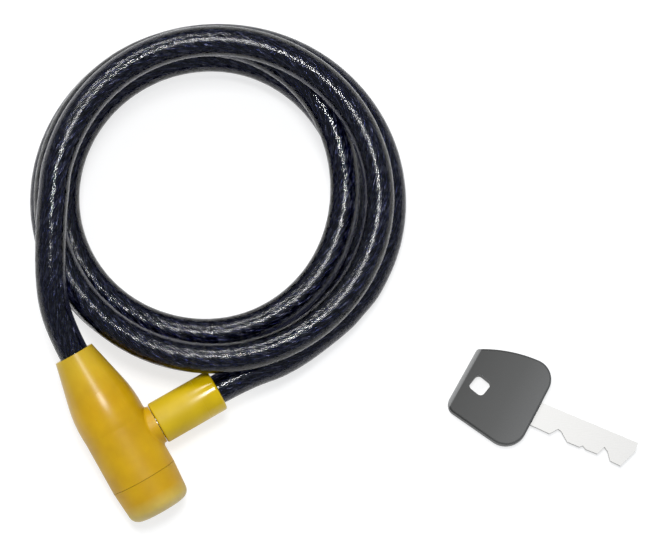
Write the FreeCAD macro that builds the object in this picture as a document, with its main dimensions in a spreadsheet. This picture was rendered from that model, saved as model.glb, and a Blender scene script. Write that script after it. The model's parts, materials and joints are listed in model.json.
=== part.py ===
"""Coiled cable lock for a bicycle, plugged together, with its key lying beside it. Millimetres.

The lock stands on z = 0. Barrel pieces are drawn about the barrel's own axis: z runs from the neck to
the lock end, x points along the plug and y points up out of the barrel. Plug pieces are drawn with z
along the plug, away from the barrel's axis. The key is drawn with x along its blade.
"""
import FreeCAD
import Part
import Sketcher
import math
import os
import re

from FreeCAD import Placement, Rotation, Vector

SIZES = {
    # cable: wire rope in a clear jacket
    "cable_diameter": 9.6,
    "rope_diameter": 5.4,
    "rope_clearance": 0.05,
    "coil_x": -42.65,
    "coil_y": 74.69,
    "coil_turns": 3.6,
    "neck_straight": 8,
    "barrel_lead_straight": 10.5,
    "plug_lead_straight": 7.7,
    "sleeve_straight": 9.6,
    # where the barrel and the key lie
    "neck_x": -86.67,
    "neck_y": 24.11,
    "barrel_heading": -60,
    "barrel_tilt": 12,
    "key_x": 62.14,
    "key_y": 10.84,
    "key_heading": -23,
    # barrel, measured along its axis from the neck
    "neck_wall": 1.7,
    "cone_station": 14,
    "cone_radius": 9.8,
    "belly_station": 27,
    "belly_bulge": 40,
    "plug_station": 32.3,
    "seam_reach": 12.5,
    "seam_gap": 0.12,
    "cavity_radius": 9,
    "shell_wall": 1.75,
    "seam_wall": 1.88,
    "wall_clearance": 0.1,
    "jacket_depth": 6,
    "jacket_stop": 0.6,
    "jacket_clearance": 0.15,
    "cavity_lead": 8.3,
    "skirt_length": 2.8,
    "skirt_wall": 0.85,
    # end cap
    "cap_thickness": 2.0,
    "edge_length": 2.7,
    "edge_inset": 0.68,
    "rim_width": 1,
    "rim_bulge": 3.1,
    "rim_lip": 0.2,
    # ferrule on the rope
    "ferrule_diameter": 12.2,
    "ferrule_spare": 2,
    "crimp_width": 3,
    "crimp_depth": 0.5,
    # plug and its socket
    "pin_diameter": 7.4,
    "pin_clearance": 0.1,
    "pin_reach": 5.5,
    "pin_tip_length": 1.9,
    "pin_tip_radius": 2.4,
    "bore_spare": 0.9,
    "groove_width": 3.6,
    "boss_radius": 6.4,
    "boss_rise": 1.25,
    "boss_gap": 0.2,
    "boss_round": 0.8,
    "sleeve_side": 2.1,
    "sleeve_length": 21.6,
    "sleeve_front": 1.3,
    "front_round": 0.6,
    "end_round": 0.8,
    "socket_cover": 1.5,
    "socket_length": 11,
    "socket_clearance": 0.05,
    "sleeve_grip": 4.4,
    "rope_seat": 1.5,
    # lock housing and cylinder
    "housing_play": 0.3,
    "housing_chamfer": 1,
    "cylinder_wall": 2.3,
    "core_clearance": 0.05,
    "core_setback": 0.2,
    "flange_width": 0.9,
    "flange_length": 1,
    "nose_step": 0.2,
    "nose_gap": 0.3,
    "nose_chamfer": 0.4,
    "keyway_height": 9.4,
    "keyway_play": 0.3,
    "wafer_lead": 0.9,
    "wafer_pitch": 2.1,
    "wafer_thickness": 1.2,
    "wafer_width": 5.6,
    "wafer_clearance": 0.05,
    "wafer_travel": 0.9,
    "wafer_arm": 1.5,
    "arm_height": 0.9,
    "wafer_front": 1.9,
    "spring_pocket": 3.1,
    "rod_radius": 0.5,
    "broach_depth": 1.25,
    "broach_clearance": 0.1,
    "tail_side": 4,
    "tail_clearance": 0.05,
    "cam_inset": 1.2,
    "cam_thickness": 1.6,
    "cam_floor": 0.6,
    "peg_radius": 1.2,
    "peg_length": 2.2,
    "peg_room": 0.3,
    # latch, which stands across the pin
    "latch_thickness": 2.6,
    "latch_clearance": 0.1,
    "latch_travel": 1.3,
    "latch_play": 0.4,
    "groove_play": 0.3,
    "latch_rim": 0.9,
    "latch_tail": 8.1,
    "notch_depth": 2.2,
    "spring_radius": 1.5,
    "spring_wall": 0.45,
    "spring_seat": 1.1,
    # key
    "bow_thickness": 5.2,
    "bow_back_radius": 45,
    "bow_edge": 0.7,
    "bow_bevel": 1.3,
    "blade_thickness": 2,
    "blade_tang": 9,
    "tang_height": 8.1,
    "tang_clearance": 0.05,
    "key_hole": 5.6,
    "key_hole_round": 1.5,
}

# What follows from the sizes, by name.
FOLLOWING = {
    "neck_radius": "cable_diameter / 2 + neck_wall",
    "neck_floor": "jacket_depth + jacket_stop",
    "cavity_start": "plug_station - cavity_lead",
    "belly_radius": "cavity_radius + shell_wall",
    "seam_station": "plug_station + seam_reach",
    "seam_radius": "cavity_radius + seam_wall",
    "edge_station": "rim_station - edge_length",
    "edge_radius": "seam_radius - edge_inset",
    "rim_station": "cap_floor + cap_thickness",
    "rim_radius": "nose_radius + nose_gap + rim_width",
    "ferrule_length": "cavity_start - ferrule_spare - neck_floor",
    "boss_reach": "belly_radius + boss_rise",
    "sleeve_start": "boss_reach + boss_gap",
    "sleeve_end": "sleeve_start + sleeve_length",
    "sleeve_radius": "cable_diameter / 2 + sleeve_side",
    "socket_radius": "sleeve_radius - socket_cover",
    "groove_radius": "hole_radius - latch_travel - groove_play",
    "housing_radius": "cavity_radius - wall_clearance",
    "housing_start": "cavity_start + housing_play",
    "core_radius": "cavity_radius - cylinder_wall",
    "core_start": "bore_floor + cam_thickness + core_setback",
    "flange_radius": "core_radius + flange_width",
    "nose_radius": "core_radius - nose_step",
    "keyway_width": "blade_thickness + keyway_play",
    "wafer_station": "core_start + wafer_lead",
    "cap_floor": "wafer_station + 4 * wafer_pitch + wafer_thickness + wafer_front",
    "cam_radius": "core_radius - cam_inset",
    "peg_offset": "latch_travel / sqrt(2)",
    "hole_radius": "pin_diameter / 2 + latch_play",
    "latch_bottom": "hole_radius + latch_rim",
    "latch_top": "latch_bottom + latch_clearance * 2",
    "latch_start": "plug_station - latch_bottom",
    "bore_floor": "plug_station + latch_tail",
    "spring_length": "housing_radius - latch_bottom - spring_seat",
}

# The coil by quarter turns, from the barrel's end at the left, clockwise and down: how far the cable's
# middle lies from the coil's centre and above the surface, as the photographed loops lie on each other.
LOOP_RADII = [
    49.8, 47.7, 53.0, 52.4,
    52.5, 50.2, 41.4, 43.0,
    48.3, 47.7, 41.1, 47.6,
    55.2, 55.5, 55.7, 49.3,
]
LOOP_HEIGHTS = [
    34.8, 33.4, 26.3, 23.4,
    21.9, 22.1, 17.9, 14.2,
    12.6, 12.0, 7.5, 5.0,
    5.0, 5.0, 5.0, 15.0,
]
FIRST_WIDENING = -7.8
FIRST_CLIMB = 10.1

# Free cable between the barrel's neck and the coil, and between the coil and the plug: a hand-chosen
# point of each, with the straight stretches beside it.
BARREL_LEAD = (-93.71, 43.56, 29.9)
PLUG_LEAD = (-19.71, 23.36, 11.6)

# Bow corners with their rounding, and the blade's cut edge, in the key's own frame.
BOW_CORNERS = {
    "heel": (-26.1, 7.7, 1.0),
    "front": (0.5, 11.4, 6.5),
    "belly": (-2.1, -19.3, 7.0),
    "back": (-28.4, -13.6, 3.5),
}
BLADE_EDGE = [
    (5.6, -8.3), (7.6, -5.8), (8.8, -6.1), (11.8, -8.5), (16.0, -8.5), (16.9, -7.7), (18.2, -8.4),
    (22.1, -8.3), (23.4, -5.4), (24.9, -6.3), (26.7, -8.8), (30.4, -9.0), (33.0, -2.7), (32.8, 0),
]
HOLE_CENTRE = (-20.8, -2.7)
HOLE_TURN = -16

doc = FreeCAD.newDocument("CableLock")
sheet = doc.addObject("Spreadsheet::Sheet", "Sizes")
for row, (name, number) in enumerate(SIZES.items(), start=1):
    sheet.set(f"A{row}", name)
    sheet.set(f"B{row}", str(number))
    sheet.setAlias(f"B{row}", name)
doc.recompute()

NODES = {}


def formula(text):
    """The text as an expression of the document, with every size read from the sheet."""
    return re.sub(r"[a-z][a-z_]+", lambda found: meaning(found[0]), text)


def meaning(word):
    if word in FOLLOWING:
        return f"({formula(FOLLOWING[word])})"
    return f"Sizes.{word}" if word in SIZES else word


def size(text):
    """What a formula of sizes comes to now."""
    return float(sheet.evalExpression(formula(text)))


# Sketches and features

def new_body(label):
    body = doc.addObject("PartDesign::Body", label)
    body.Label = label
    NODES[label] = body
    return body


def new_sketch(body, role, offset="0"):
    """A sketch on one of the body's own planes, moved along the plane's normal."""
    sketch = body.newObject("Sketcher::SketchObject", "Sketch")
    plane = next(feature for feature in body.Origin.OriginFeatures if feature.Role == role)
    sketch.AttachmentSupport = (plane, [""])
    sketch.MapMode = "FlatFace"
    sketch.setExpression("AttachmentOffset.Base.z", formula(offset))
    return sketch


def hold(sketch, kind, place, text):
    """A dimension of the sketch, bound to a formula."""
    index = sketch.addConstraint(Sketcher.Constraint(kind, *place, size(text)))
    sketch.setExpression(f"Constraints[{index}]", formula(text))


def hold_point(sketch, geometry, end, point):
    for kind, text in zip(("DistanceX", "DistanceY"), point):
        hold(sketch, kind, (-1, 1, geometry, end), text)


def draw_outline(sketch, points):
    """A closed outline. A third value makes the side that reaches the point an arc of that radius,
    which bulges to the right of the way round, or to the left where it is negative."""
    first = sketch.GeometryCount
    ends = [Vector(size(point[0]), size(point[1])) for point in points]
    for start, end, point in zip(ends[-1:] + ends[:-1], ends, points):
        if len(point) == 2:
            sketch.addGeometry(Part.LineSegment(start, end), False)
            continue
        radius = size(point[2])
        chord = end - start
        sagitta = abs(radius) - math.sqrt(radius ** 2 - chord.Length ** 2 / 4)
        side = Vector(chord.y, -chord.x).normalize() * math.copysign(sagitta, radius)
        sketch.addGeometry(Part.Arc(start, (start + end) / 2 + side, end), False)
    for index, point in enumerate(points):
        geometry = first + index
        following = first + (index + 1) % len(points)
        ends_at, begins_at = end_of(sketch, geometry, ends[index]), end_of(sketch, following, ends[index])
        sketch.addConstraint(Sketcher.Constraint("Coincident", geometry, ends_at, following, begins_at))
        hold_point(sketch, geometry, ends_at, point[:2])
        if len(point) == 3:
            radius_text = point[2].lstrip("-")
            hold(sketch, "Radius", (geometry,), radius_text)


def end_of(sketch, geometry, point):
    """Which end of a line or arc lies at the point."""
    curve = sketch.Geometry[geometry]
    return 1 if curve.StartPoint.distanceToPoint(point) < curve.EndPoint.distanceToPoint(point) else 2


def draw_box(sketch, left, bottom, right, top):
    draw_outline(sketch, [(left, bottom), (right, bottom), (right, top), (left, top)])


def draw_circle(sketch, x, y, radius):
    centre = Vector(size(x), size(y))
    geometry = sketch.addGeometry(Part.Circle(centre, Vector(0, 0, 1), size(radius)), False)
    hold_point(sketch, geometry, 3, (x, y))
    hold(sketch, "Radius", (geometry,), radius)


def revolve(body, points, kind="PartDesign::Revolution"):
    """A turned solid, or a turned cut, from (radius, station) points about the body's z axis."""
    sketch = new_sketch(body, "XZ_Plane")
    draw_outline(sketch, points)
    feature = body.newObject(kind, "Turned")
    feature.Profile = sketch
    feature.ReferenceAxis = (sketch, ["V_Axis"])
    feature.Angle = 360
    doc.recompute()
    return feature


def extrude(body, sketch, length, kind="PartDesign::Pad", both_ways=False):
    """A pad along the sketch's normal, or a pocket against it."""
    feature = body.newObject(kind, "Extruded")
    feature.Profile = sketch
    feature.SideType = "Symmetric" if both_ways else "One side"
    feature.setExpression("Length", formula(length))
    doc.recompute()
    return feature


def cut(body, sketch, length, both_ways=False):
    return extrude(body, sketch, length, "PartDesign::Pocket", both_ways)


def repeat_around(body, feature, count):
    pattern = body.newObject("PartDesign::PolarPattern", "Around")
    pattern.Originals = [feature]
    pattern.Axis = (feature.Profile[0], ["N_Axis"])
    pattern.Angle = 360
    pattern.Occurrences = count
    body.Tip = pattern
    doc.recompute()


def repeat_along(body, feature, length, count):
    """Copies up the sketch's vertical axis."""
    pattern = body.newObject("PartDesign::LinearPattern", "Along")
    pattern.Originals = [feature]
    pattern.Direction = (feature.Profile[0], ["V_Axis"])
    pattern.setExpression("Length", formula(length))
    pattern.Occurrences = count
    body.Tip = pattern
    doc.recompute()


# Barrel

def make_barrel_shell():
    body = new_body("barrel_shell")
    revolve(body, [
        ("0", "0"),
        ("neck_radius", "0"),
        ("cone_radius", "cone_station"),
        ("belly_radius", "belly_station", "belly_bulge"),
        ("seam_radius", "seam_station"),
        ("0", "seam_station"),
    ])
    boss = new_sketch(body, "YZ_Plane")
    draw_circle(boss, "0", "plug_station", "boss_radius")
    boss = extrude(body, boss, "boss_reach")
    round_edges(body, boss, boss_foot(boss.Shape), "boss_round")
    skirt_bore = "cavity_radius + skirt_wall + wall_clearance"
    skirt_floor = "seam_station - skirt_length - wall_clearance"
    revolve(body, [
        ("0", "0"),
        ("cable_diameter / 2 + jacket_clearance", "0"),
        ("cable_diameter / 2 + jacket_clearance", "neck_floor"),
        ("ferrule_diameter / 2 + wall_clearance", "neck_floor"),
        ("ferrule_diameter / 2 + wall_clearance", "cavity_start"),
        ("cavity_radius", "cavity_start"),
        ("cavity_radius", skirt_floor),
        (skirt_bore, skirt_floor),
        (skirt_bore, "seam_station"),
        ("0", "seam_station"),
    ], "PartDesign::Groove")
    socket = new_sketch(body, "YZ_Plane", "boss_reach")
    draw_circle(socket, "0", "plug_station", "pin_diameter / 2 + 2 * pin_clearance")
    cut(body, socket, "boss_reach")


def boss_foot(shape):
    """The names of the edges where the boss leaves the barrel's side."""
    names = []
    for index, edge in enumerate(shape.Edges, start=1):
        points = edge.discretize(Number=5)
        around = all(abs(math.hypot(point.y, point.z - size("plug_station")) - size("boss_radius")) < 0.01
                     for point in points)
        if around and all(0 < point.x < size("boss_reach") - 0.1 for point in points):
            names.append(f"Edge{index}")
    return names


def make_barrel_end_cap():
    skirt_start = "seam_station - skirt_length"
    skirt_radius = "cavity_radius + skirt_wall"
    opening = "nose_radius + nose_gap"
    revolve(new_body("barrel_end_cap"), [
        ("cavity_radius", skirt_start),
        (skirt_radius, skirt_start),
        (skirt_radius, "seam_station + seam_gap"),
        ("seam_radius", "seam_station + seam_gap"),
        ("edge_radius", "edge_station"),
        ("rim_radius", "rim_station", "rim_bulge"),
        (opening, "rim_station + rim_lip"),
        (opening, "cap_floor"),
        ("cavity_radius", "cap_floor"),
    ])


def make_cable_ferrule():
    bore = "rope_diameter / 2 + rope_clearance"
    outside = "ferrule_diameter / 2"
    end = "neck_floor + ferrule_length"
    body = new_body("cable_ferrule")
    revolve(body, [
        (bore, "neck_floor + rope_clearance"),
        (outside, "neck_floor + rope_clearance"),
        (outside, end),
        (bore, end),
    ])
    for share in ("0.3", "0.7"):
        middle = f"neck_floor + {share} * ferrule_length"
        revolve(body, [
            (outside, f"{middle} - crimp_width / 2"),
            (f"{outside} + crimp_depth", f"{middle} - crimp_width / 2"),
            (f"{outside} + crimp_depth", f"{middle} + crimp_width / 2"),
            (outside, f"{middle} + crimp_width / 2"),
            (f"{outside} - crimp_depth", middle),
        ], "PartDesign::Groove")


def make_lock_housing():
    body = new_body("lock_housing")
    radius = "housing_radius"
    core_bore = "core_radius + core_clearance"
    front = "cap_floor - wall_clearance"
    flange_floor = f"{front} - flange_length - 2 * core_clearance"
    revolve(body, [
        ("0", "housing_start"),
        (f"{radius} - housing_chamfer", "housing_start"),
        (radius, "housing_start + housing_chamfer"),
        (radius, front),
        ("flange_radius + core_clearance", front),
        ("flange_radius + core_clearance", flange_floor),
        (core_bore, flange_floor),
        (core_bore, "bore_floor"),
        ("0", "bore_floor"),
    ])
    pin_bore = new_sketch(body, "YZ_Plane", radius)
    draw_circle(pin_bore, "0", "plug_station", "pin_diameter / 2 + pin_clearance")
    cut(body, pin_bore, f"{radius} + pin_reach + bore_spare")
    pocket = new_sketch(body, "YZ_Plane")
    draw_box(pocket, "-latch_bottom - 3 * latch_clearance", "latch_start - 5 * latch_clearance",
             "latch_top + latch_travel + latch_clearance", "bore_floor + latch_clearance")
    cut(body, pocket, "latch_thickness + 3 * latch_clearance", both_ways=True)
    recess = new_sketch(body, "XY_Plane", "bore_floor")
    draw_circle(recess, "0", "0", "peg_offset + peg_radius + peg_room")
    cut(body, recess, "peg_length + peg_room")
    spring = new_sketch(body, "XZ_Plane", "latch_bottom")
    draw_circle(spring, "0", "plug_station", "spring_radius + latch_clearance")
    extrude(body, spring, "spring_length + latch_clearance", "PartDesign::Pocket").Reversed = True
    slot = new_sketch(body, "XY_Plane", flange_floor)
    draw_box(slot, "-wafer_width / 2 - broach_clearance", "0",
             "wafer_width / 2 + broach_clearance", "core_radius + broach_depth")
    repeat_around(body, cut(body, slot, f"{flange_floor} - wafer_station + 5 * broach_clearance"), 4)


def make_cylinder_core():
    body = new_body("cylinder_core")
    front = "cap_floor - wall_clearance / 2"
    revolve(body, [
        ("0", "core_start"),
        ("core_radius", "core_start"),
        ("core_radius", f"{front} - flange_length"),
        ("flange_radius", f"{front} - flange_length"),
        ("flange_radius", front),
        ("nose_radius", front),
        ("nose_radius", "rim_station - nose_chamfer"),
        ("nose_radius - nose_chamfer", "rim_station"),
        ("0", "rim_station"),
    ])
    tail = new_sketch(body, "XY_Plane", "core_start")
    draw_box(tail, "-tail_side / 2", "-tail_side / 2", "tail_side / 2", "tail_side / 2")
    tail_length = "core_setback + cam_thickness - cam_floor - 2 * tail_clearance"
    extrude(body, tail, tail_length).Reversed = True
    keyway = new_sketch(body, "XY_Plane", "rim_station")
    draw_box(keyway, "-keyway_width / 2", "-keyway_height / 2", "keyway_width / 2", "keyway_height / 2")
    cut(body, keyway, "rim_station - wafer_station + keyway_play")
    gap = "wafer_clearance"
    bottom = f"wafer_station - {gap}"
    top = f"wafer_station + wafer_thickness + {gap}"
    slot = new_sketch(body, "XZ_Plane")
    draw_box(slot, f"-wafer_width / 2 - {gap}", bottom, f"wafer_width / 2 + {gap}", top)
    slots = cut(body, slot, "4 * core_radius", both_ways=True)
    repeat_along(body, slots, "4 * wafer_pitch", 5)
    arm_reach = f"wafer_width / 2 + wafer_arm + 2 * {gap}"
    for side, start, count in (("", "0", 3), ("-", "wafer_pitch", 2)):
        pocket = new_sketch(body, "XZ_Plane")
        left, right = sorted(("0", f"{side}({arm_reach})"), key=size)
        draw_box(pocket, left, f"{bottom} + {start}", right, f"{top} + {start}")
        pockets = cut(body, pocket, f"2 * (spring_pocket + {gap})", both_ways=True)
        repeat_along(body, pockets, f"{count - 1} * 2 * wafer_pitch", count)


def make_wafers():
    """Flat plates, flush with the core while level. Every other one faces the other way."""
    half_width = "wafer_width / 2"
    arc = "core_radius - wafer_clearance"
    end = f"sqrt(({arc}) ^ 2 - wafer_width ^ 2 / 4)"
    arm = f"{half_width} + wafer_arm"
    for index in range(5):
        body = new_body(f"wafer_{index + 1}")
        plate = new_sketch(body, "XY_Plane", f"wafer_station + {index} * wafer_pitch")
        draw_outline(plate, [
            (f"-{half_width}", f"-{end}"),
            (half_width, f"-{end}", arc),
            (half_width, "0"),
            (arm, "0"),
            (arm, "arm_height"),
            (half_width, "arm_height"),
            (half_width, end),
            (f"-{half_width}", end, arc),
        ])
        window = "keyway_width / 2 + 2 * wafer_clearance"
        draw_box(plate, f"-({window})", "-keyway_height / 2", window, "keyway_height / 2")
        extrude(body, plate, "wafer_thickness")


def make_cam_plate():
    body = new_body("cam_plate")
    hole = "tail_side / 2 + tail_clearance"
    disc = new_sketch(body, "XY_Plane", "bore_floor + tail_clearance")
    draw_circle(disc, "0", "0", "cam_radius")
    extrude(body, disc, "cam_thickness")
    seat = new_sketch(body, "XY_Plane", "bore_floor + tail_clearance + cam_thickness")
    draw_box(seat, f"-({hole})", f"-({hole})", hole, hole)
    cut(body, seat, "cam_thickness - cam_floor")
    peg = new_sketch(body, "XY_Plane", "bore_floor + tail_clearance - peg_length")
    draw_circle(peg, "peg_offset * cos(-45)", "peg_offset * sin(-45)", "peg_radius")
    extrude(body, peg, "peg_length")


def make_latch_plate():
    body = new_body("latch_plate")
    plate = new_sketch(body, "YZ_Plane")
    end = "bore_floor - 2 * latch_clearance"
    floor = "bore_floor - notch_depth - 4 * latch_clearance"
    peg_height = "peg_offset * sin(-45)"
    notch_low = f"{peg_height} - peg_radius - latch_clearance"
    notch_high = f"{peg_height} + peg_radius + latch_clearance"
    draw_outline(plate, [
        ("-latch_bottom", "latch_start"),
        ("latch_top", "latch_start"),
        ("latch_top", end),
        (notch_high, end),
        (notch_high, floor),
        (notch_low, floor),
        (notch_low, end),
        ("-latch_bottom", end),
    ])
    draw_circle(plate, "0", "plug_station", "hole_radius")
    extrude(body, plate, "latch_thickness", both_ways=True)


def make_latch_spring():
    """The compressed spring under the latch plate, as a plain sleeve of its size."""
    body = new_body("latch_spring")
    section = new_sketch(body, "XZ_Plane", "latch_bottom + latch_clearance / 2")
    draw_circle(section, "0", "plug_station", "spring_radius")
    draw_circle(section, "0", "plug_station", "spring_radius - spring_wall")
    extrude(body, section, "spring_length")


# Plug

def make_plug_pin():
    """A pointed steel pin with the latch groove, a collar and a socket crimped on the rope."""
    bore = "rope_diameter / 2 + rope_clearance"
    socket = "sleeve_start + sleeve_front + socket_clearance"
    revolve(new_body("plug_pin"), [
        ("0", "-pin_reach"),
        ("pin_tip_radius", "-pin_reach"),
        ("pin_diameter / 2", "pin_tip_length - pin_reach"),
        ("pin_diameter / 2", "-groove_width / 2"),
        ("groove_radius", "-groove_width / 2"),
        ("groove_radius", "groove_width / 2"),
        ("pin_diameter / 2", "groove_width / 2"),
        ("pin_diameter / 2", socket),
        ("socket_radius", socket),
        ("socket_radius", f"{socket} + socket_length"),
        (bore, f"{socket} + socket_length"),
        (bore, f"{socket} + rope_seat"),
        ("0", f"{socket} + rope_seat"),
    ])


def make_plug_sleeve():
    step = "sleeve_start + sleeve_front"
    inner = f"{step} + socket_length + 2 * socket_clearance"
    front_bore = "pin_diameter / 2 + socket_clearance"
    middle_bore = "socket_radius + socket_clearance"
    grip_bore = "cable_diameter / 2 + socket_clearance"
    outside = "sleeve_radius"
    revolve(new_body("plug_sleeve"), [
        (front_bore, "sleeve_start"),
        (f"{outside} - front_round", "sleeve_start"),
        (outside, "sleeve_start + front_round", "front_round"),
        (outside, "sleeve_end - end_round"),
        (f"{outside} - end_round", "sleeve_end", "end_round"),
        (grip_bore, "sleeve_end"),
        (grip_bore, inner),
        (middle_bore, inner),
        (middle_bore, step),
        (front_bore, step),
    ])


def make_rope_ends():
    """The bare ends of the rope inside the ferrule and inside the plug's socket."""
    seat = "sleeve_start + sleeve_front + rope_seat + 2 * socket_clearance"
    spans = {
        "barrel_rope_end": ("jacket_depth", "neck_floor + ferrule_length"),
        "plug_rope_end": (seat, "sleeve_end - sleeve_grip"),
    }
    for label, (start, end) in spans.items():
        body = new_body(label)
        section = new_sketch(body, "XY_Plane", start)
        draw_circle(section, "0", "0", "rope_diameter / 2")
        extrude(body, section, f"{end} - ({start})")


# Key

def make_key_bow():
    """A moulded grip over the blade's tang, with a rounded square hole for a ring."""
    body = new_body("key_bow")
    grip = new_sketch(body, "XY_Plane")
    corners = {name: (str(x), str(y)) for name, (x, y, _) in BOW_CORNERS.items()}
    draw_outline(grip, [
        corners["back"],
        corners["belly"],
        corners["front"],
        (*corners["heel"], "bow_back_radius"),
    ])
    feature = extrude(body, grip, "bow_thickness")
    for x, y, radius in BOW_CORNERS.values():
        feature = round_edges(body, feature, [upright_edge(feature.Shape, x, y)], str(radius))
    round_edges(body, feature, flat_faces(feature.Shape), "bow_edge")
    bevel_back(body)
    hole = new_sketch(body, "XY_Plane", "bow_thickness")
    turn = Rotation(Vector(0, 0, 1), HOLE_TURN)
    half = size("key_hole / 2")
    flat = half - size("key_hole_round")
    points = [Vector(half, -flat), Vector(half, flat), Vector(flat, half), Vector(-flat, half),
              Vector(-half, flat), Vector(-half, -flat), Vector(-flat, -half), Vector(flat, -half)]
    points = [turn.multVec(point) + Vector(*HOLE_CENTRE) for point in points]
    draw_outline(hole, [
        (f"{point.x:.4f}", f"{point.y:.4f}") + (() if index % 2 else ("key_hole_round",))
        for index, point in enumerate(points)
    ])
    cut(body, hole, "bow_thickness")
    tang = new_sketch(body, "XY_Plane", "(bow_thickness + blade_thickness) / 2 + tang_clearance")
    draw_box(tang, "-blade_tang - tang_clearance", "-tang_height - tang_clearance", "4", "tang_clearance")
    cut(body, tang, "blade_thickness + 2 * tang_clearance")


def bevel_back(body):
    """Takes both edges off the grip's back, along the line from its heel to its back corner."""
    (heel_x, heel_y, _), (back_x, back_y, _) = BOW_CORNERS["heel"], BOW_CORNERS["back"]
    slant = math.degrees(math.atan2(heel_x - back_x, heel_y - back_y))
    wedges = new_sketch(body, "XZ_Plane", str(-heel_y))
    wedges.AttachmentOffset = Placement(Vector(heel_x, 0, -heel_y), Rotation(Vector(0, 1, 0), -slant))
    over = "0.5"
    draw_outline(wedges, [
        (f"bow_bevel + {over}", f"bow_thickness + {over}"),
        (f"-{over}", f"bow_thickness + {over}"),
        (f"-{over}", f"bow_thickness - bow_bevel - {over}"),
    ])
    draw_outline(wedges, [
        (f"bow_bevel + {over}", f"-{over}"),
        (f"-{over}", f"bow_bevel + {over}"),
        (f"-{over}", f"-{over}"),
    ])
    cut(body, wedges, "80", both_ways=True)


def round_edges(body, feature, names, radius):
    fillet = body.newObject("PartDesign::Fillet", "Rounded")
    fillet.Base = (feature, names)
    fillet.setExpression("Radius", formula(radius))
    doc.recompute()
    return fillet


def upright_edge(shape, x, y):
    """The name of the upright edge at a point."""
    for index, edge in enumerate(shape.Edges, start=1):
        ends = [vertex.Point for vertex in edge.Vertexes]
        upright = len(ends) == 2 and abs(ends[0].z - ends[1].z) > 0.1
        if upright and all(math.hypot(end.x - x, end.y - y) < 0.01 for end in ends):
            return f"Edge{index}"
    raise ValueError("no upright edge there")


def flat_faces(shape):
    """The names of the top and bottom faces."""
    heights = [round(shape.BoundBox.ZMin, 3), round(shape.BoundBox.ZMax, 3)]
    return [f"Face{index}" for index, face in enumerate(shape.Faces, start=1)
            if face.BoundBox.ZLength < 0.001 and round(face.BoundBox.ZMin, 3) in heights]


def make_key_blade():
    body = new_body("key_blade")
    blade = new_sketch(body, "XY_Plane", "(bow_thickness - blade_thickness) / 2")
    edge = [(str(x), str(y)) for x, y in BLADE_EDGE]
    draw_outline(blade, [("-blade_tang", "0"), ("-blade_tang", "-tang_height"), ("1", "-tang_height"), *edge])
    extrude(body, blade, "blade_thickness")


# Cable

def hermite(values, slopes, place):
    """The value at a place between whole quarters, with the given slopes at the quarters."""
    index = min(int(place), len(values) - 2)
    part = place - index
    return (
        (2 * part ** 3 - 3 * part ** 2 + 1) * values[index]
        + (part ** 3 - 2 * part ** 2 + part) * slopes[index]
        + (3 * part ** 2 - 2 * part ** 3) * values[index + 1]
        + (part ** 3 - part ** 2) * slopes[index + 1]
    )


def quarter_slopes(values, first, blend):
    steps = [end - start for start, end in zip(values, values[1:])]
    return [first] + [blend(before, after) for before, after in zip(steps, steps[1:])] + [steps[-1]]


def mean(before, after):
    return (before + after) / 2


def steady(before, after):
    """A slope that never overshoots: none where the way turns or stays level."""
    return 2 * before * after / (before + after) if before * after > 0 else 0


RADIUS_SLOPES = quarter_slopes(LOOP_RADII, FIRST_WIDENING, mean)
HEIGHT_SLOPES = quarter_slopes(LOOP_HEIGHTS, FIRST_CLIMB, steady)


def coil_point(turns):
    radius = hermite(LOOP_RADII, RADIUS_SLOPES, 4 * turns)
    height = hermite(LOOP_HEIGHTS, HEIGHT_SLOPES, 4 * turns)
    angle = math.pi - 2 * math.pi * turns
    return Vector(size("coil_x") + radius * math.cos(angle), size("coil_y") + radius * math.sin(angle), height)


def coil_direction(turns):
    step = 0.0005
    return (coil_point(turns + step) - coil_point(max(turns - step, 0))).normalize()


def leg_arc(start, corner, end):
    """The arc that leaves start towards the corner and arrives at end from it."""
    middle = (start + end) / 2
    height = corner.distanceToPoint(middle)
    half = end.distanceToPoint(start) / 2
    turn = 2 * math.atan2(height, half)
    radius = half / math.sin(turn / 2)
    sagitta = radius * (1 - math.cos(turn / 2))
    return Part.Arc(start, middle + (corner - middle).normalize() * sagitta, end).toShape(), radius


def biarc(start, leaving, end, arriving):
    """Two arcs that join two points along two directions, with equal legs."""
    span = end - start
    both = leaving + arriving
    across = span.dot(both)
    spread = 2 * (1 - leaving.dot(arriving))
    leg = (math.sqrt(across ** 2 + spread * span.dot(span)) - across) / spread
    first_corner, second_corner = start + leaving * leg, end - arriving * leg
    joint = (first_corner + second_corner) / 2
    return [leg_arc(start, first_corner, joint), leg_arc(joint, second_corner, end)]


def wound_path(point, direction, turns, spans, straight):
    """A wire of biarcs round a coil, with a straight piece at each end."""
    places = [turns * index / spans for index in range(spans + 1)]
    arcs = []
    for start, end in zip(places, places[1:]):
        arcs += biarc(point(start), direction(start), point(end), direction(end))
    first, last = point(0), point(turns)
    entry = Part.LineSegment(first - direction(0) * straight, first).toShape()
    leaving = Part.LineSegment(last, last + direction(turns) * straight).toShape()
    return Part.Wire([entry] + [arc for arc, _ in arcs] + [leaving]), min(radius for _, radius in arcs)


def rounded_path(points):
    """Straight runs joined by tangent arcs as large as their runs allow, and the arcs' radii."""
    edges, radii = [], []
    reached = points[0]
    for before, corner, after in zip(points, points[1:], points[2:]):
        back, ahead = before - corner, after - corner
        cut_back = 0.45 * min(back.Length, ahead.Length)
        turn = math.pi - back.getAngle(ahead)
        start = corner + back.normalize() * cut_back
        end = corner + ahead.normalize() * cut_back
        edges.append(Part.LineSegment(reached, start).toShape())
        edges.append(leg_arc(start, corner, end)[0])
        radii.append(cut_back / math.tan(turn / 2))
        reached = end
    edges.append(Part.LineSegment(reached, points[-1]).toShape())
    return Part.Wire(edges), radii


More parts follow.
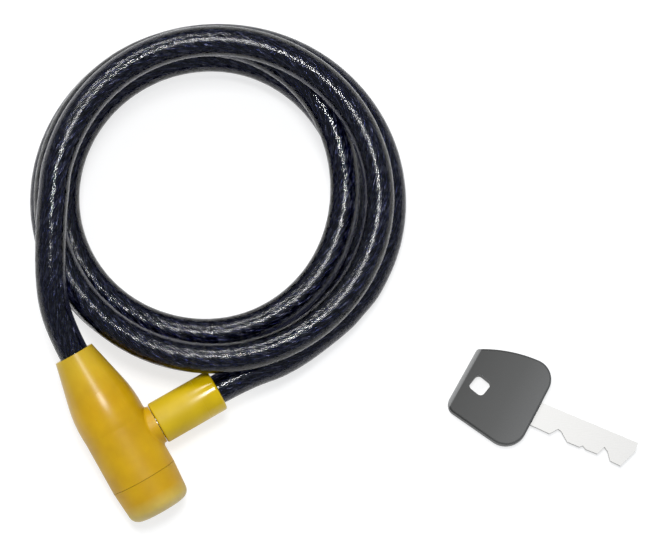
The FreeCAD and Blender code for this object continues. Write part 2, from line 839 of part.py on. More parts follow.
def tube(path, radius):
    """A round bar of the given radius along a wire."""
    first = path.OrderedEdges[0]
    start = first.valueAt(first.FirstParameter)
    section = Part.Wire([Part.makeCircle(radius, start, first.tangentAt(first.FirstParameter))])
    shell = Part.BRepOffsetAPI.MakePipeShell(path)
    shell.add(section)
    shell.build()
    shell.makeSolid()
    return shell.shape()


def add_shape(label, shape):
    node = doc.addObject("Part::Feature", label)
    node.Label = label
    node.Shape = shape
    NODES[label] = node
    return node


def add_cable(label, path):
    """The jacketed rope along a path, as one solid."""
    radius = size("cable_diameter / 2")
    cable = add_shape(label, tube(path, radius)).Shape
    share = cable.Volume / (math.pi * radius ** 2 * path.Length)
    print(f"{label}: length {path.Length:.1f}, volume {share:.4f} of section x length")


def self_gap(path, diameter):
    """The least gap between stretches of a path at least a third of a turn apart, and where it is."""
    points = path.discretize(Number=900)
    apart = len(points) // 10
    least = min(
        (points[i].distanceToPoint(points[j]), i)
        for i in range(len(points))
        for j in range(i + apart, len(points))
    )
    return least[0] - diameter, points[least[1]]


# Assembly

make_barrel_shell()
make_barrel_end_cap()
make_cable_ferrule()
make_lock_housing()
make_cylinder_core()
make_wafers()
make_cam_plate()
make_latch_plate()
make_latch_spring()
make_plug_pin()
make_plug_sleeve()
make_rope_ends()
make_key_bow()
make_key_blade()

heading, tilt = math.radians(size("barrel_heading")), math.radians(size("barrel_tilt"))
barrel_axis = Vector(math.cos(heading) * math.cos(tilt), math.sin(heading) * math.cos(tilt), -math.sin(tilt))
plug_axis = Vector(-math.sin(heading), math.cos(heading), 0)
barrel_turn = Rotation(plug_axis, barrel_axis.cross(plug_axis), barrel_axis, "ZXY")
tilted_cap = NODES["barrel_end_cap"].Shape.transformed(Placement(Vector(), barrel_turn).toMatrix(), True)
neck_height = -tilted_cap.optimalBoundingBox(False, False).ZMin
barrel_place = Placement(Vector(size("neck_x"), size("neck_y"), neck_height), barrel_turn)
plug_place = barrel_place * Placement(Vector(0, 0, size("plug_station")), Rotation(Vector(0, 1, 0), 90))
key_place = Placement(Vector(size("key_x"), size("key_y"), 0), Rotation(Vector(0, 0, 1), size("key_heading")))

for label, node in NODES.items():
    if label.startswith("plug"):
        node.Placement = plug_place
    elif label.startswith("key"):
        node.Placement = key_place
    else:
        node.Placement = barrel_place
for index in (2, 4):
    half_turn = Placement(Vector(), Rotation(Vector(0, 0, 1), 180))
    NODES[f"wafer_{index}"].Placement = barrel_place * half_turn

doc.recompute()

coil_path, tightest = wound_path(coil_point, coil_direction, size("coil_turns"), 15, size("cable_diameter"))
add_cable("coil_cable", coil_path)
gap, place = self_gap(coil_path, size("cable_diameter"))
print(f"coil: tightest arc {tightest:.1f}, least gap to itself {gap:.2f} at", [round(v, 1) for v in place])

coil_start, coil_end = coil_path.OrderedVertexes[0].Point, coil_path.OrderedVertexes[-1].Point
leads = {
    "barrel_lead_cable": [
        barrel_place.multVec(Vector(0, 0, size("jacket_depth"))),
        barrel_place.multVec(Vector(0, 0, -size("neck_straight"))),
        Vector(*BARREL_LEAD),
        coil_start - coil_direction(0) * size("barrel_lead_straight"),
        coil_start,
    ],
    "plug_lead_cable": [
        coil_end,
        coil_end + coil_direction(size("coil_turns")) * size("plug_lead_straight"),
        Vector(*PLUG_LEAD),
        plug_place.multVec(Vector(0, 0, size("sleeve_end + sleeve_straight"))),
        plug_place.multVec(Vector(0, 0, size("sleeve_end - sleeve_grip"))),
    ],
}
for label, points in leads.items():
    path, radii = rounded_path(points)
    print(f"{label}: radii", [round(radius, 1) for radius in radii])
    add_cable(label, path)

# The wafer springs
springs = []
for index in range(5):
    side = 1 if index % 2 == 0 else -1
    x = size("(wafer_width + wafer_arm) / 2") * side
    z = size(f"wafer_station + wafer_thickness / 2 + {index} * wafer_pitch")
    base = Vector(x, -side * size("spring_pocket"), z)
    length = size("spring_pocket - wafer_clearance")
    springs.append(Part.makeCylinder(size("rod_radius"), length, base, Vector(0, side, 0)))
wafer_springs = add_shape("wafer_springs", Part.makeCompound(springs))
wafer_springs.Placement = barrel_place

doc.recompute()
for item in doc.Objects:
    if {"Invalid", "Error"} & set(item.State):
        raise RuntimeError(f"{item.Name} failed")
for label, node in NODES.items():
    if node.Shape.isNull() or not node.Shape.isValid():
        raise RuntimeError(f"{label} has no sound shape")
os.makedirs("parts", exist_ok=True)
for label, node in NODES.items():
    node.Shape.exportStep(f"parts/{label}.step")
print(len(NODES), "nodes")
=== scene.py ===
"""Coiled bicycle cable lock seen from above, plugged together, with its key lying beside it.

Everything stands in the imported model's frame, in metres. The barrel's own axes are read from the
joints: STATION runs along the barrel to its lock end, PLUG along the plug and ABOVE up out of it.
"""

import json
import math

import bpy
from mathutils import Matrix, Vector


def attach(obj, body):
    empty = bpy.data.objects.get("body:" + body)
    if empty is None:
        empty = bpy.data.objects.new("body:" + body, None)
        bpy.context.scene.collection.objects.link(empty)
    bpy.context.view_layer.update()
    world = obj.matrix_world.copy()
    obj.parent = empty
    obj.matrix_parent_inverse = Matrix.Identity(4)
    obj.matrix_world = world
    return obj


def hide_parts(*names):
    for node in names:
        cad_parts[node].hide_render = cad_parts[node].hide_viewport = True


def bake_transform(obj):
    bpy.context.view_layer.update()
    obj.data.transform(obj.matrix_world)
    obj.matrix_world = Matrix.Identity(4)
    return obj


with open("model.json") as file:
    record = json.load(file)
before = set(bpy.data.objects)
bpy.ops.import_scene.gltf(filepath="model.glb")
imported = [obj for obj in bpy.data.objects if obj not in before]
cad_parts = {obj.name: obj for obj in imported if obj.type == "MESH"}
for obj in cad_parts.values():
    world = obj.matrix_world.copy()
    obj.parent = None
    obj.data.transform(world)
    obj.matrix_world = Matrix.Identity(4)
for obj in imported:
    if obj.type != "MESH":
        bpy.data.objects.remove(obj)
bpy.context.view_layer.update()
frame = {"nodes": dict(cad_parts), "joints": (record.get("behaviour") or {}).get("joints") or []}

MM = 0.001
NODES = frame["nodes"]
JOINTS = {joint["name"]: joint for joint in frame["joints"]}

STATION = Vector(JOINTS["cylinder_turn"]["axis"]).normalized()
PLUG = -Vector(JOINTS["barrel_pull"]["axis"]).normalized()
ABOVE = STATION.cross(PLUG)

# The point of the cylinder's joint lies this far along the barrel from its neck.
AXIS_POINT_STATION = 50 * MM
NECK = Vector(JOINTS["cylinder_turn"]["pos_m"]) - STATION * AXIS_POINT_STATION


def in_barrel(plug=0.0, above=0.0, station=0.0):
    """A point from its place along the barrel's own axes, in millimetres."""
    return NECK + (PLUG * plug + ABOVE * above + STATION * station) * MM


# Camera

CAMERA_AIM = Vector((-4.81, 53.66, 0)) * MM
CAMERA_DISTANCE = 1100 * MM
CAMERA_ELEVATION = math.radians(80)
CAMERA_REACH = 20
LENS = 184

camera = bpy.data.objects.new("camera", bpy.data.cameras.new("camera"))
bpy.context.scene.collection.objects.link(camera)
towards_camera = Vector((0, -math.cos(CAMERA_ELEVATION), math.sin(CAMERA_ELEVATION)))
camera.location = CAMERA_AIM + towards_camera * CAMERA_DISTANCE
camera.rotation_euler = towards_camera.to_track_quat("Z", "Y").to_euler()
camera.data.lens = LENS
camera.data.clip_end = CAMERA_REACH
bpy.context.scene.camera = camera


# Materials

# How high each relief stands.
RIPPLE_RELIEF = 0.12 * MM
STRAND_RELIEF = 0.05 * MM
WIRE_RELIEF = 0.22 * MM
BARREL_RELIEF = 0.05 * MM
BOW_RELIEF = 0.04 * MM
METAL_RELIEF = 0.01 * MM

# How wide the features of each pattern are, in millimetres.
DUST_PATCH = 100 / 3
RIPPLE_WIDTH = 1.25
BARREL_CLOUD = 100 / 9
BARREL_GRAIN = 1.25
PLUG_CLOUD = 20 / 3
BOW_GRAIN = 1 / 3
FLOOR_FIBRE = 0.5


def linear(colour):
    """An sRGB hex colour as linear red, green, blue and alpha."""
    parts = [int(colour[i:i + 2], 16) / 255 for i in (1, 3, 5)]
    return [p / 12.92 if p <= 0.04045 else ((p + 0.055) / 1.055) ** 2.4 for p in parts] + [1]


def add_node(tree, kind, settings=(), links=()):
    """A node with its properties, sockets and stops of (place, hex colour) set, and its inputs linked."""
    node = tree.nodes.new(kind)
    for name, value in dict(settings).items():
        if name == "stops":
            elements = node.color_ramp.elements
            while len(elements) < len(value):
                elements.new(0.5)
            for element, (place, colour) in zip(elements, value):
                element.position, element.color = place, linear(colour)
        elif isinstance(name, int) or name in node.inputs:
            node.inputs[name].default_value = value
        else:
            setattr(node, name, value)
    for name, source in dict(links).items():
        tree.links.new(source, node.inputs[name])
    return node


def new_material(name, settings):
    """A material with its shader's sockets set, as its node tree and the shader."""
    material = bpy.data.materials.new(name)
    material.use_nodes = True
    shader = material.node_tree.nodes["Principled BSDF"]
    for socket, value in settings.items():
        shader.inputs[socket].default_value = value
    return material, material.node_tree, shader


def finish_node(name, material):
    """A CAD node gets the finish of its material."""
    NODES[name].data.materials.clear()
    NODES[name].data.materials.append(material)


def in_millimetres(tree):
    """The piece's own place, in millimetres."""
    place = add_node(tree, "ShaderNodeTexCoord").outputs["Object"]
    return add_node(tree, "ShaderNodeMapping", {"Scale": [1 / MM] * 3}, {"Vector": place}).outputs[0]


def along_barrel(tree):
    """The piece's own place along the barrel's axes, in millimetres: plug, above, station."""
    place = add_node(tree, "ShaderNodeTexCoord").outputs["Object"]
    turn = Matrix((PLUG, ABOVE, STATION)).transposed().to_euler()
    settings = {"vector_type": "TEXTURE", "Location": NECK, "Rotation": turn, "Scale": [MM] * 3}
    return add_node(tree, "ShaderNodeMapping", settings, {"Vector": place}).outputs[0]


def smoked_vinyl():
    """Extruded clear vinyl with a smoke tint: nearly black in depth, with streaks of light along its crest.

    Handling has left it slick in some places and duller in others. The rope's strands press through a little.
    Real vinyl bends light a bit more, which would show paler rims than the photographed cable has.
    """
    material, tree, shader = new_material("extruded_smoke_tinted_vinyl", {
        "Base Color": linear("#c8cdf0"), "IOR": 1.4, "Transmission Weight": 1.0,
    })
    place = in_millimetres(tree)
    dust = add_node(tree, "ShaderNodeTexNoise", {"Scale": 1 / DUST_PATCH, "Detail": 2}, {"Vector": place})
    rough = add_node(tree, "ShaderNodeMapRange", {
        "From Min": 0.35, "From Max": 0.65, "To Min": 0.04, "To Max": 0.18,
    }, {"Value": dust.outputs["Fac"]})
    tree.links.new(rough.outputs[0], shader.inputs["Roughness"])
    ripple = add_node(tree, "ShaderNodeTexNoise", {
        "Scale": 1 / RIPPLE_WIDTH, "Detail": 3, "Roughness": 0.8,
    }, {"Vector": place})
    rippled = add_node(tree, "ShaderNodeBump", {"Strength": 1.0, "Distance": RIPPLE_RELIEF},
                       {"Height": ripple.outputs["Fac"]})
    lay = add_node(tree, "ShaderNodeUVMap", {"uv_map": "lay"}).outputs[0]
    steps = (-2 * math.pi * STRANDS / (STRAND_LAY / MM), 2 * math.pi * STRANDS, 0)
    turn = add_node(tree, "ShaderNodeVectorMath", {"operation": "DOT_PRODUCT", 1: steps}, {0: lay})
    strands = add_node(tree, "ShaderNodeMath", {"operation": "COSINE"}, {0: turn.outputs["Value"]})
    pressed = add_node(tree, "ShaderNodeBump", {"Strength": 0.35, "Distance": STRAND_RELIEF},
                       {"Height": strands.outputs[0], "Normal": rippled.outputs[0]})
    tree.links.new(pressed.outputs[0], shader.inputs["Normal"])
    smoke = add_node(tree, "ShaderNodeVolumeAbsorption", {"Color": linear("#363960"), "Density": 540})
    tree.links.new(smoke.outputs[0], tree.nodes["Material Output"].inputs["Volume"])
    return material


def rope_wire():
    """Drawn steel wires laid into strands: dark oiled metal, with painted glints: white spots in its colour
    stand in for sparks of light.

    The wires are drawn coarser than real ones, which would be too fine to show.
    """
    material, tree, shader = new_material("drawn_and_stranded_steel_wire", {
        "Metallic": 1.0, "Roughness": 0.28,
    })
    lay = add_node(tree, "ShaderNodeUVMap", {"uv_map": "lay"}).outputs[0]
    across = add_node(tree, "ShaderNodeVectorMath", {
        "operation": "DOT_PRODUCT", 1: (1 / WIRE_LAY, WIRES, 0),
    }, {0: lay}).outputs["Value"]
    along = add_node(tree, "ShaderNodeVectorMath", {
        "operation": "DOT_PRODUCT", 1: (1 / PAINTED_GLINT_LENGTH, 0, 0),
    }, {0: lay}).outputs["Value"]
    turn = add_node(tree, "ShaderNodeMath", {"operation": "MULTIPLY", 1: 2 * math.pi}, {0: across}).outputs[0]
    crest = add_node(tree, "ShaderNodeMath", {"operation": "SINE"}, {0: turn}).outputs[0]
    grid = add_node(tree, "ShaderNodeCombineXYZ", links={"X": across, "Y": along}).outputs[0]
    # Painted glints: white spots in the metal's colour, stretched along the wires.
    painted_glints = add_node(tree, "ShaderNodeTexNoise", {"Scale": 1.2, "Detail": 1}, {"Vector": grid})
    tint = add_node(tree, "ShaderNodeValToRGB", {
        "stops": [(0.42, "#41487f"), (0.5, "#99a1cf"), (0.56, "#ffffff")],
    }, {"Fac": painted_glints.outputs["Fac"]})
    tree.links.new(tint.outputs["Color"], shader.inputs["Base Color"])
    bump = add_node(tree, "ShaderNodeBump", {"Strength": 1.0, "Distance": WIRE_RELIEF}, {"Height": crest})
    tree.links.new(bump.outputs[0], shader.inputs["Normal"])
    return material


# Cable

CABLE_DIAMETER = 9.6 * MM
ROPE_DIAMETER = 5.4 * MM
STRANDS = 6
STRAND_LAY = 34 * MM
STRAND_CIRCLE = ROPE_DIAMETER / 3
STRAND_RADIUS = ROPE_DIAMETER / 6

# The lay of the wires on a strand and the length of a painted glint are in millimetres.
WIRES = 7
WIRE_LAY = 9
PAINTED_GLINT_LENGTH = 4

# How finely the tubes and their line are drawn: the rope's core keeps every third point of the line.
JACKET_SIDES = 32
STRAND_SIDES = 8
LINE_STEPS = 10
CORE_STRIDE = 3

COIL_CENTRE = Vector((-42.65, 74.69, 0)) * MM
COIL_TURNS = 3.6
POINTS_PER_TURN = 24
JOIN_TURN = 2 / POINTS_PER_TURN

# By quarter turns from the barrel's end at the left, clockwise: the loops' radii and heights in millimetres,
# and how much each changes at first.
LOOP_RADII = [
    49.8, 47.7, 52.3, 52.4,
    52.5, 50.2, 41.4, 43.0,
    48.3, 47.7, 44.0, 47.6,
    55.2, 55.5, 56.5, 51.4,
]
LOOP_HEIGHTS = [
    34.8, 33.4, 26.3, 23.4,
    21.9, 22.1, 17.9, 14.2,
    12.6, 12.0, 7.5, 5.0,
    5.0, 5.0, 5.0, 15.0,
]
FIRST_WIDENING = -7.8
FIRST_CLIMB = 10.1
BARREL_LEAD = Vector((-93.71, 43.56, 29.9)) * MM
PLUG_LEAD = Vector((-19.71, 23.36, 11.6)) * MM

# Where the cable runs into the plug's sleeve and the barrel's neck, in millimetres along the barrel's axes.
PLUG_STATION = 32.3
SLEEVE_END = 33.8
SLEEVE_GRIP = 4.4
SLEEVE_STRAIGHT = 9.6
JACKET_DEPTH = 6
NECK_STRAIGHT = 8

BARREL_LEAD_STRAIGHT = 10.5 * MM
PLUG_LEAD_STRAIGHT = 7.7 * MM


def hermite(values, slopes, place):
    """A smooth value between the listed ones, which it passes with the slopes given."""
    index = min(int(place), len(values) - 2)
    part = place - index
    return (
        (2 * part ** 3 - 3 * part ** 2 + 1) * values[index]
        + (part ** 3 - 2 * part ** 2 + part) * slopes[index]
        + (3 * part ** 2 - 2 * part ** 3) * values[index + 1]
        + (part ** 3 - part ** 2) * slopes[index + 1]
    )


def quarter_slopes(values, first, blend):
    """A slope for each quarter turn: the first as given, the others blended from the steps beside them."""
    steps = [end - start for start, end in zip(values, values[1:])]
    return [first] + [blend(before, after) for before, after in zip(steps, steps[1:])] + [steps[-1]]


def mean(before, after):
    """A slope halfway between two."""
    return (before + after) / 2


def steady(before, after):
    """A slope that never overshoots: none where the way turns or stays level."""
    return 2 * before * after / (before + after) if before * after > 0 else 0


RADIUS_SLOPES = quarter_slopes(LOOP_RADII, FIRST_WIDENING, mean)
HEIGHT_SLOPES = quarter_slopes(LOOP_HEIGHTS, FIRST_CLIMB, steady)


def coil_point(turns, spread=1.0):
    """The cable's middle after so many turns from the barrel's end."""
    radius = hermite(LOOP_RADII, RADIUS_SLOPES, 4 * turns) * spread
    height = hermite(LOOP_HEIGHTS, HEIGHT_SLOPES, 4 * turns)
    angle = math.pi - 2 * math.pi * turns
    return COIL_CENTRE + Vector((radius * math.cos(angle), radius * math.sin(angle), height)) * MM


def coil_direction(turns):
    """The way the cable runs after so many turns."""
    step = 0.0005
    return (coil_point(turns + step) - coil_point(max(turns - step, 0))).normalized()


def coil_route(first, last):
    """The coil's spline points from one turn to another.

    They lie a little wide, because the line touches the middles between them.
    """
    steps = round((last - first) * POINTS_PER_TURN)
    spread = 1 / math.cos(math.pi / POINTS_PER_TURN)
    inner = [coil_point(first + (last - first) * (i + 0.5) / steps, spread) for i in range(steps)]
    return [coil_point(first)] + inner + [coil_point(last)]


def smooth_line(name, route):
    """The points of a smooth spline that the route steers."""
    curve = bpy.data.curves.new(name, "CURVE")
    curve.dimensions = "3D"
    spline = curve.splines.new("NURBS")
    spline.points.add(len(route) - 1)
    for point, place in zip(spline.points, route):
        point.co = (*place, 1)
    spline.order_u = 3
    spline.use_endpoint_u = True
    spline.resolution_u = LINE_STEPS
    holder = bpy.data.objects.new(name, curve)
    bpy.context.scene.collection.objects.link(holder)
    line = bpy.data.meshes.new_from_object(holder)
    points = [vertex.co.copy() for vertex in line.vertices]
    bpy.data.objects.remove(holder)
    return points


def frames_along(points):
    """Each point with the way up and the way across there."""
    frames = []
    for before, point, after in zip([points[0]] + points, points, points[1:] + [points[-1]]):
        direction = (after - before).normalized()
        up = (Vector((0, 0, 1)) - direction * direction.z).normalized()
        frames.append((point, up, direction.cross(up)))
    return frames


def distances(points):
    """How far along the line each point lies."""
    reached = [0.0]
    for before, after in zip(points, points[1:]):
        reached.append(reached[-1] + (after - before).length)
    return reached


def tube(name, rings, lengths):
    """A closed tube through rings of points.

    Its map holds the length in millimetres and the way round in turns.
    """
    sides = len(rings[0])
    vertices = [point for ring in rings for point in ring]
    faces = [[row * sides + side, row * sides + (side + 1) % sides,
              (row + 1) * sides + (side + 1) % sides, (row + 1) * sides + side]
             for row in range(len(rings) - 1) for side in range(sides)]
    last = len(vertices) - sides
    faces += [list(reversed(range(sides))), list(range(last, last + sides))]
    mesh = bpy.data.meshes.new(name)
    mesh.from_pydata(vertices, [], faces)
    for edge in mesh.edges:
        edge.use_edge_sharp = max(edge.vertices) < sides or min(edge.vertices) >= last
    layer = mesh.uv_layers.new(name="lay")
    for face in mesh.polygons:
        face.use_smooth = len(face.vertices) == 4
        places = [vertex % sides for vertex in face.vertices]
        wraps = max(places) == sides - 1 and min(places) == 0
        for loop in face.loop_indices:
            vertex = mesh.loops[loop].vertex_index
            side = vertex % sides
            turn = (side + (sides if wraps and side == 0 else 0)) / sides
            layer.data[loop].uv = (lengths[vertex // sides] / MM, turn)
    piece = bpy.data.objects.new(name, mesh)
    bpy.context.scene.collection.objects.link(piece)
    return piece


def round_tube(name, frames, radius, sides):
    """A round tube about the line that the frames follow."""
    rings = [[point + (up * math.cos(turn) + across * math.sin(turn)) * radius
              for turn in (2 * math.pi * side / sides for side in range(sides))]
             for point, up, across in frames]
    return tube(name, rings, distances([point for point, up, across in frames]))


def strand_points(frames, start, number):
    """The line of one strand of the rope, turning about the cable's line."""
    line = []
    lengths = distances([point for point, up, across in frames])
    for (point, up, across), reached in zip(frames, lengths):
        turn = 2 * math.pi * ((start + reached) / STRAND_LAY + number / STRANDS)
        line.append(point + (up * math.cos(turn) + across * math.sin(turn)) * STRAND_CIRCLE)
    return line


def joined(name, pieces):
    """One piece made of several."""
    bpy.ops.object.select_all(action="DESELECT")
    for piece in pieces:
        piece.select_set(True)
    bpy.context.view_layer.objects.active = pieces[0]
    bpy.ops.object.join()
    pieces[0].name = name
    return pieces[0]


def rope(name, frames, start):
    """The strands of the rope inside the jacket, round a core."""
    strands = []
    for number in range(STRANDS):
        line = frames_along(strand_points(frames, start, number))
        strands.append(round_tube(f"{name}_{number}", line, STRAND_RADIUS, STRAND_SIDES))
    core_line = frames[::CORE_STRIDE] + frames[-1:]
    core = round_tube(f"{name}_core", core_line, STRAND_RADIUS, STRAND_SIDES)
    piece = joined(name, strands + [core])
    piece.data.materials.append(ROPE_WIRE)
    return piece


SMOKED_VINYL = smoked_vinyl()
ROPE_WIRE = rope_wire()

barrel_route = [
    in_barrel(station=JACKET_DEPTH),
    in_barrel(station=-NECK_STRAIGHT),
    BARREL_LEAD,
    coil_point(0) - coil_direction(0) * BARREL_LEAD_STRAIGHT,
] + coil_route(0, JOIN_TURN)
plug_route = coil_route(JOIN_TURN, COIL_TURNS) + [
    coil_point(COIL_TURNS) + coil_direction(COIL_TURNS) * PLUG_LEAD_STRAIGHT,
    PLUG_LEAD,
    in_barrel(plug=SLEEVE_END + SLEEVE_STRAIGHT, station=PLUG_STATION),
    in_barrel(plug=SLEEVE_END - SLEEVE_GRIP, station=PLUG_STATION),
]

barrel_line = smooth_line("barrel_line", barrel_route)
plug_line = smooth_line("plug_line", plug_route)
barrel_length, plug_length = distances(barrel_line)[-1], distances(plug_line)[-1]

whole_cable = frames_along(barrel_line + plug_line[1:])
barrel_frames, plug_frames = whole_cable[:len(barrel_line)], whole_cable[len(barrel_line) - 1:]
neck_cable = round_tube("neck_cable_jacket", barrel_frames, CABLE_DIAMETER / 2, JACKET_SIDES)
coiled_cable = round_tube("coiled_cable_jacket", plug_frames, CABLE_DIAMETER / 2, JACKET_SIDES)
neck_rope = rope("neck_cable_rope", barrel_frames, -barrel_length)
coiled_rope = rope("coiled_cable_rope", plug_frames, 0)
for jacket in (neck_cable, coiled_cable):
    jacket.data.materials.append(SMOKED_VINYL)

for piece in (coiled_cable, coiled_rope):
    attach(piece, "cable")
for piece in (neck_cable, neck_rope):
    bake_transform(piece)
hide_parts("barrel_lead_cable")
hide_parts("coil_cable", "plug_lead_cable")


# Barrel, plug and key

# Where the finish changes, in millimetres: along the barrel from its neck, and along the plug from the
# barrel's axis.
# The barrel's colour, with painted light at its end, runs over this length.
TONE_AND_PAINTED_LIGHT_SPAN = 60.0
SATIN_TO = 18.0
MATT_FROM = 34.0
PLUG_MATT_TO = 22.0
PLUG_GLOSSY_FROM = 31.0


def barrel_plastic():
    """Injection-moulded polypropylene, golden yellow, with a little light inside.

    Its skin is satin on the cone and more matt on the body; painted light pales it towards the end cap's
    edge.
    """
    material, tree, shader = new_material("moulded_yellow_polypropylene", {
        "IOR": 1.49, "Specular IOR Level": 0.35, "Subsurface Weight": 0.12,
        "Subsurface Radius": (3 * MM, 1.6 * MM, 0.4 * MM), "Subsurface Scale": 1.0,
    })
    place = along_barrel(tree)
    station = add_node(tree, "ShaderNodeSeparateXYZ", links={"Vector": place}).outputs["Z"]
    share = add_node(tree, "ShaderNodeMath", {"operation": "DIVIDE", 1: TONE_AND_PAINTED_LIGHT_SPAN}, {0: station}).outputs[0]
    # The barrel's colour along its length; the pale cream towards the end cap is painted light, not a tint of
    # the plastic.
    colour = add_node(tree, "ShaderNodeValToRGB", {"stops": [
        (0.0, "#caa92a"), (0.3, "#d2a40e"), (0.62, "#cda000"),
        (0.84, "#cc9e08"), (0.9, "#cbb052"), (0.95, "#d3c28c"),
    ]}, {"Fac": share})
    cloud = add_node(tree, "ShaderNodeTexNoise", {
        "Scale": 1 / BARREL_CLOUD, "Detail": 3, "Roughness": 0.55,
    }, {"Vector": place})
    shade = add_node(tree, "ShaderNodeValToRGB", {"stops": [(0.3, "#e9e4d8"), (0.7, "#ffffff")]},
                     {"Fac": cloud.outputs["Fac"]})
    mixed = add_node(tree, "ShaderNodeMix", {"data_type": "RGBA", "blend_type": "MULTIPLY", "Factor": 1.0},
                     {6: colour.outputs["Color"], 7: shade.outputs["Color"]})
    tree.links.new(mixed.outputs[2], shader.inputs["Base Color"])
    rough = add_node(tree, "ShaderNodeMapRange", {
        "From Min": SATIN_TO, "From Max": MATT_FROM, "To Min": 0.28, "To Max": 0.5,
    }, {"Value": station})
    tree.links.new(rough.outputs[0], shader.inputs["Roughness"])
    skin = add_node(tree, "ShaderNodeTexNoise", {
        "Scale": 1 / BARREL_GRAIN, "Detail": 4, "Roughness": 0.6,
    }, {"Vector": place})
    bump = add_node(tree, "ShaderNodeBump", {"Strength": 0.25, "Distance": BARREL_RELIEF},
                    {"Height": skin.outputs["Fac"]})
    tree.links.new(bump.outputs[0], shader.inputs["Normal"])
    return material


def plug_plastic():
    """Injection-moulded ABS, a greener yellow: matt beside the barrel and glossy at the cable's end."""
    material, tree, shader = new_material("moulded_yellow_abs", {"IOR": 1.54, "Specular IOR Level": 0.35})
    cloud = add_node(tree, "ShaderNodeTexNoise", {"Scale": 1 / PLUG_CLOUD, "Detail": 3},
                     {"Vector": in_millimetres(tree)})
    tint = add_node(tree, "ShaderNodeValToRGB", {"stops": [(0.3, "#c6a605"), (0.7, "#d3b207")]},
                    {"Fac": cloud.outputs["Fac"]})
    tree.links.new(tint.outputs["Color"], shader.inputs["Base Color"])
    along = add_node(tree, "ShaderNodeSeparateXYZ", links={"Vector": along_barrel(tree)}).outputs["X"]
    rough = add_node(tree, "ShaderNodeMapRange", {
        "From Min": PLUG_MATT_TO, "From Max": PLUG_GLOSSY_FROM, "To Min": 0.55, "To Max": 0.12,
    }, {"Value": along})
    tree.links.new(rough.outputs[0], shader.inputs["Roughness"])
    return material


# The way across the key's grip from its straight back, how far along it the back lies, and the grip's length
# that way, in millimetres.
BOW_INWARD = (0.873, -0.487, 0)
BOW_BACK = 22.2
BOW_LENGTH = 32


def bow_plastic():
    """Moulded ABS with a spark-eroded skin, matt grey: painted shade darkest at its back, a painted highlight
    on its bevel.
    """
    material, tree, shader = new_material("spark_eroded_grey_abs", {"IOR": 1.54, "Specular IOR Level": 0.3})
    place = in_millimetres(tree)
    inward = add_node(tree, "ShaderNodeVectorMath", {"operation": "DOT_PRODUCT", 1: BOW_INWARD}, {0: place})
    share = add_node(tree, "ShaderNodeMapRange", {"From Min": BOW_BACK, "From Max": BOW_BACK + BOW_LENGTH},
                     {"Value": inward.outputs["Value"]})
    # Painted light and shade: a painted highlight on the back's bevel, then painted shade darkest at the
    # back, lighter towards the far end.
    painted_light_and_shade = add_node(tree, "ShaderNodeValToRGB", {"stops": [
        (0.0, "#a8a8a6"), (0.036, "#8c8c8b"), (0.046, "#333331"), (0.5, "#474745"), (1.0, "#666665"),
    ]}, {"Fac": share.outputs[0]})
    grain = add_node(tree, "ShaderNodeTexNoise", {
        "Scale": 1 / BOW_GRAIN, "Detail": 5, "Roughness": 0.7,
    }, {"Vector": place}).outputs["Fac"]
    speck = add_node(tree, "ShaderNodeValToRGB", {"stops": [(0.3, "#d8d8d8"), (0.7, "#ffffff")]},
                     {"Fac": grain})
    mixed = add_node(tree, "ShaderNodeMix", {"data_type": "RGBA", "blend_type": "MULTIPLY", "Factor": 1.0},
                     {6: painted_light_and_shade.outputs["Color"], 7: speck.outputs["Color"]})
    tree.links.new(mixed.outputs[2], shader.inputs["Base Color"])
    rough = add_node(tree, "ShaderNodeMapRange", {"To Min": 0.42, "To Max": 0.6}, {"Value": grain})
    tree.links.new(rough.outputs[0], shader.inputs["Roughness"])
    bump = add_node(tree, "ShaderNodeBump", {"Strength": 0.4, "Distance": BOW_RELIEF}, {"Height": grain})
    tree.links.new(bump.outputs[0], shader.inputs["Normal"])
    return material


def metal(name, colours, roughness, grain):
    """A metal with a grain of its own, which shades it a little and breaks up its highlights.

    Its colours and roughness are given from low to high, and its grain in millimetres each way.
    """
    material, tree, shader = new_material(name, {"Metallic": 1.0})
    place = in_millimetres(tree)
    stretched = add_node(tree, "ShaderNodeMapping", {"Scale": [1 / g for g in grain]}, {"Vector": place})
    grained = add_node(tree, "ShaderNodeTexNoise", {"Scale": 1.0, "Detail": 4},
                       {"Vector": stretched.outputs[0]}).outputs["Fac"]
    tint = add_node(tree, "ShaderNodeValToRGB", {"stops": [(0.3, colours[0]), (0.7, colours[1])]},
                    {"Fac": grained})
    tree.links.new(tint.outputs["Color"], shader.inputs["Base Color"])
    rough = add_node(tree, "ShaderNodeMapRange", {"To Min": roughness[0], "To Max": roughness[1]},
                     {"Value": grained})
    tree.links.new(rough.outputs[0], shader.inputs["Roughness"])
    bump = add_node(tree, "ShaderNodeBump", {"Strength": 0.3, "Distance": METAL_RELIEF}, {"Height": grained})
    tree.links.new(bump.outputs[0], shader.inputs["Normal"])
    return material


BARREL_PLASTIC = barrel_plastic()
PLUG_PLASTIC = plug_plastic()
BOW_PLASTIC = bow_plastic()

# Dull grey and a little coarse, as it leaves the die.
DIE_CAST_ZINC = metal("die_cast_zinc", ("#8d9094", "#a6a9ac"), (0.35, 0.55), (0.8, 0.8, 0.8))

# Warm yellow with a soft shine.
STAMPED_BRASS = metal("stamped_brass", ("#b08c3f", "#c9a54f"), (0.25, 0.4), (0.5, 0.5, 0.5))

# Pale and bright, with a fine even grain.
PLATED_STEEL = metal("zinc_plated_steel", ("#9a9da2", "#b9bcc0"), (0.2, 0.35), (0.6, 0.6, 0.6))

# Dark grey, where the rope is stripped of its jacket.
BARE_ROPE = metal("bare_drawn_steel_rope", ("#4d5054", "#8b8f94"), (0.3, 0.45), (0.4, 0.4, 0.4))

# Pale and satin, with a fine brushed grain that runs roughly along the blade.
NICKEL_BLADE = metal("nickel_plated_key_steel", ("#989795", "#a7a6a4"), (0.45, 0.55), (3.0, 0.3, 0.3))

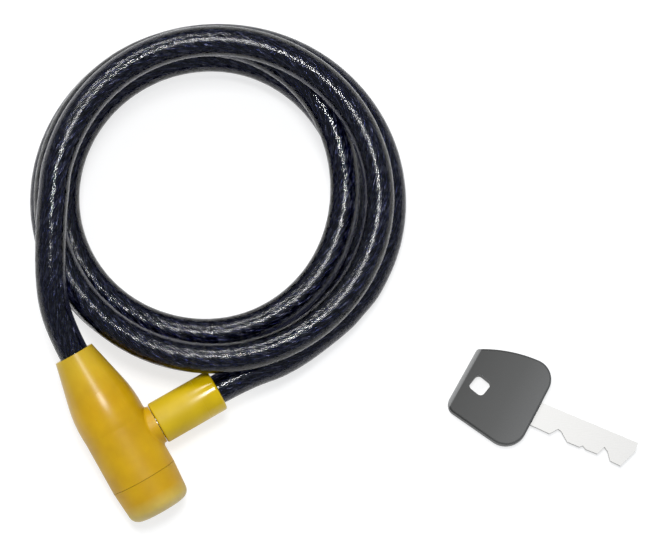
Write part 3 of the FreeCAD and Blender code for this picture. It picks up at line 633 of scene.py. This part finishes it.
WAFERS = 5
FINISHES = {
    "barrel_shell": BARREL_PLASTIC, "barrel_end_cap": BARREL_PLASTIC, "plug_sleeve": PLUG_PLASTIC,
    "key_bow": BOW_PLASTIC, "key_blade": NICKEL_BLADE, "lock_housing": DIE_CAST_ZINC,
    "cylinder_core": STAMPED_BRASS, "cam_plate": PLATED_STEEL, "latch_plate": PLATED_STEEL,
    "latch_spring": PLATED_STEEL, "wafer_springs": PLATED_STEEL, "plug_pin": PLATED_STEEL,
    "cable_ferrule": PLATED_STEEL, "barrel_rope_end": BARE_ROPE, "plug_rope_end": BARE_ROPE,
}
FINISHES.update({f"wafer_{number}": STAMPED_BRASS for number in range(1, WAFERS + 1)})
for node, material in FINISHES.items():
    finish_node(node, material)


# Floor and light

FLOOR_SIZE = 4
FLOOR_GAP = 0.05 * MM


def studio_floor():
    """A light table of opal acrylic: glows a little, so that shadows stay faint."""
    material, tree, shader = new_material("opal_acrylic_light_table", {
        "Roughness": 0.9, "Specular IOR Level": 0.1,
        "Emission Color": linear("#ffffff"), "Emission Strength": 0.72,
    })
    fibre = add_node(tree, "ShaderNodeTexNoise", {"Scale": 1 / FLOOR_FIBRE, "Detail": 3},
                     {"Vector": in_millimetres(tree)})
    tint = add_node(tree, "ShaderNodeValToRGB", {"stops": [(0.3, "#a4a4a4"), (0.7, "#a8a8a8")]},
                    {"Fac": fibre.outputs["Fac"]})
    tree.links.new(tint.outputs["Color"], shader.inputs["Base Color"])
    return material


bpy.ops.object.select_all(action="DESELECT")
bpy.ops.mesh.primitive_plane_add(size=FLOOR_SIZE, location=(0, 0, -FLOOR_GAP))
floor = bpy.context.active_object
floor.name = "floor"
floor.data.materials.append(studio_floor())


def softbox(name, place, width, depth, power):
    """A flat lamp that faces the middle of the lock."""
    light = bpy.data.lights.new(name, "AREA")
    light.shape = "RECTANGLE"
    light.size, light.size_y = width, depth
    light.energy = power
    holder = bpy.data.objects.new(name, light)
    bpy.context.scene.collection.objects.link(holder)
    holder.location = place
    holder.rotation_euler = (Vector(place) - CAMERA_AIM).to_track_quat("Z", "Y").to_euler()


softbox("overhead_softbox", place=(0.0, 0.15, 1.3), width=0.28, depth=0.28, power=10)
softbox("window", place=(-0.32, 0.8, 0.95), width=0.6, depth=0.25, power=6)

# A faint bluish light from the room all round.
ROOM_TINT = (0.8, 0.88, 1, 1)
ROOM_STRENGTH = 0.35

world = bpy.data.worlds.new("studio")
world.use_nodes = True
world.node_tree.nodes["Background"].inputs["Color"].default_value = ROOM_TINT
world.node_tree.nodes["Background"].inputs["Strength"].default_value = ROOM_STRENGTH
bpy.context.scene.world = world
bpy.context.scene.view_settings.view_transform = "Standard"
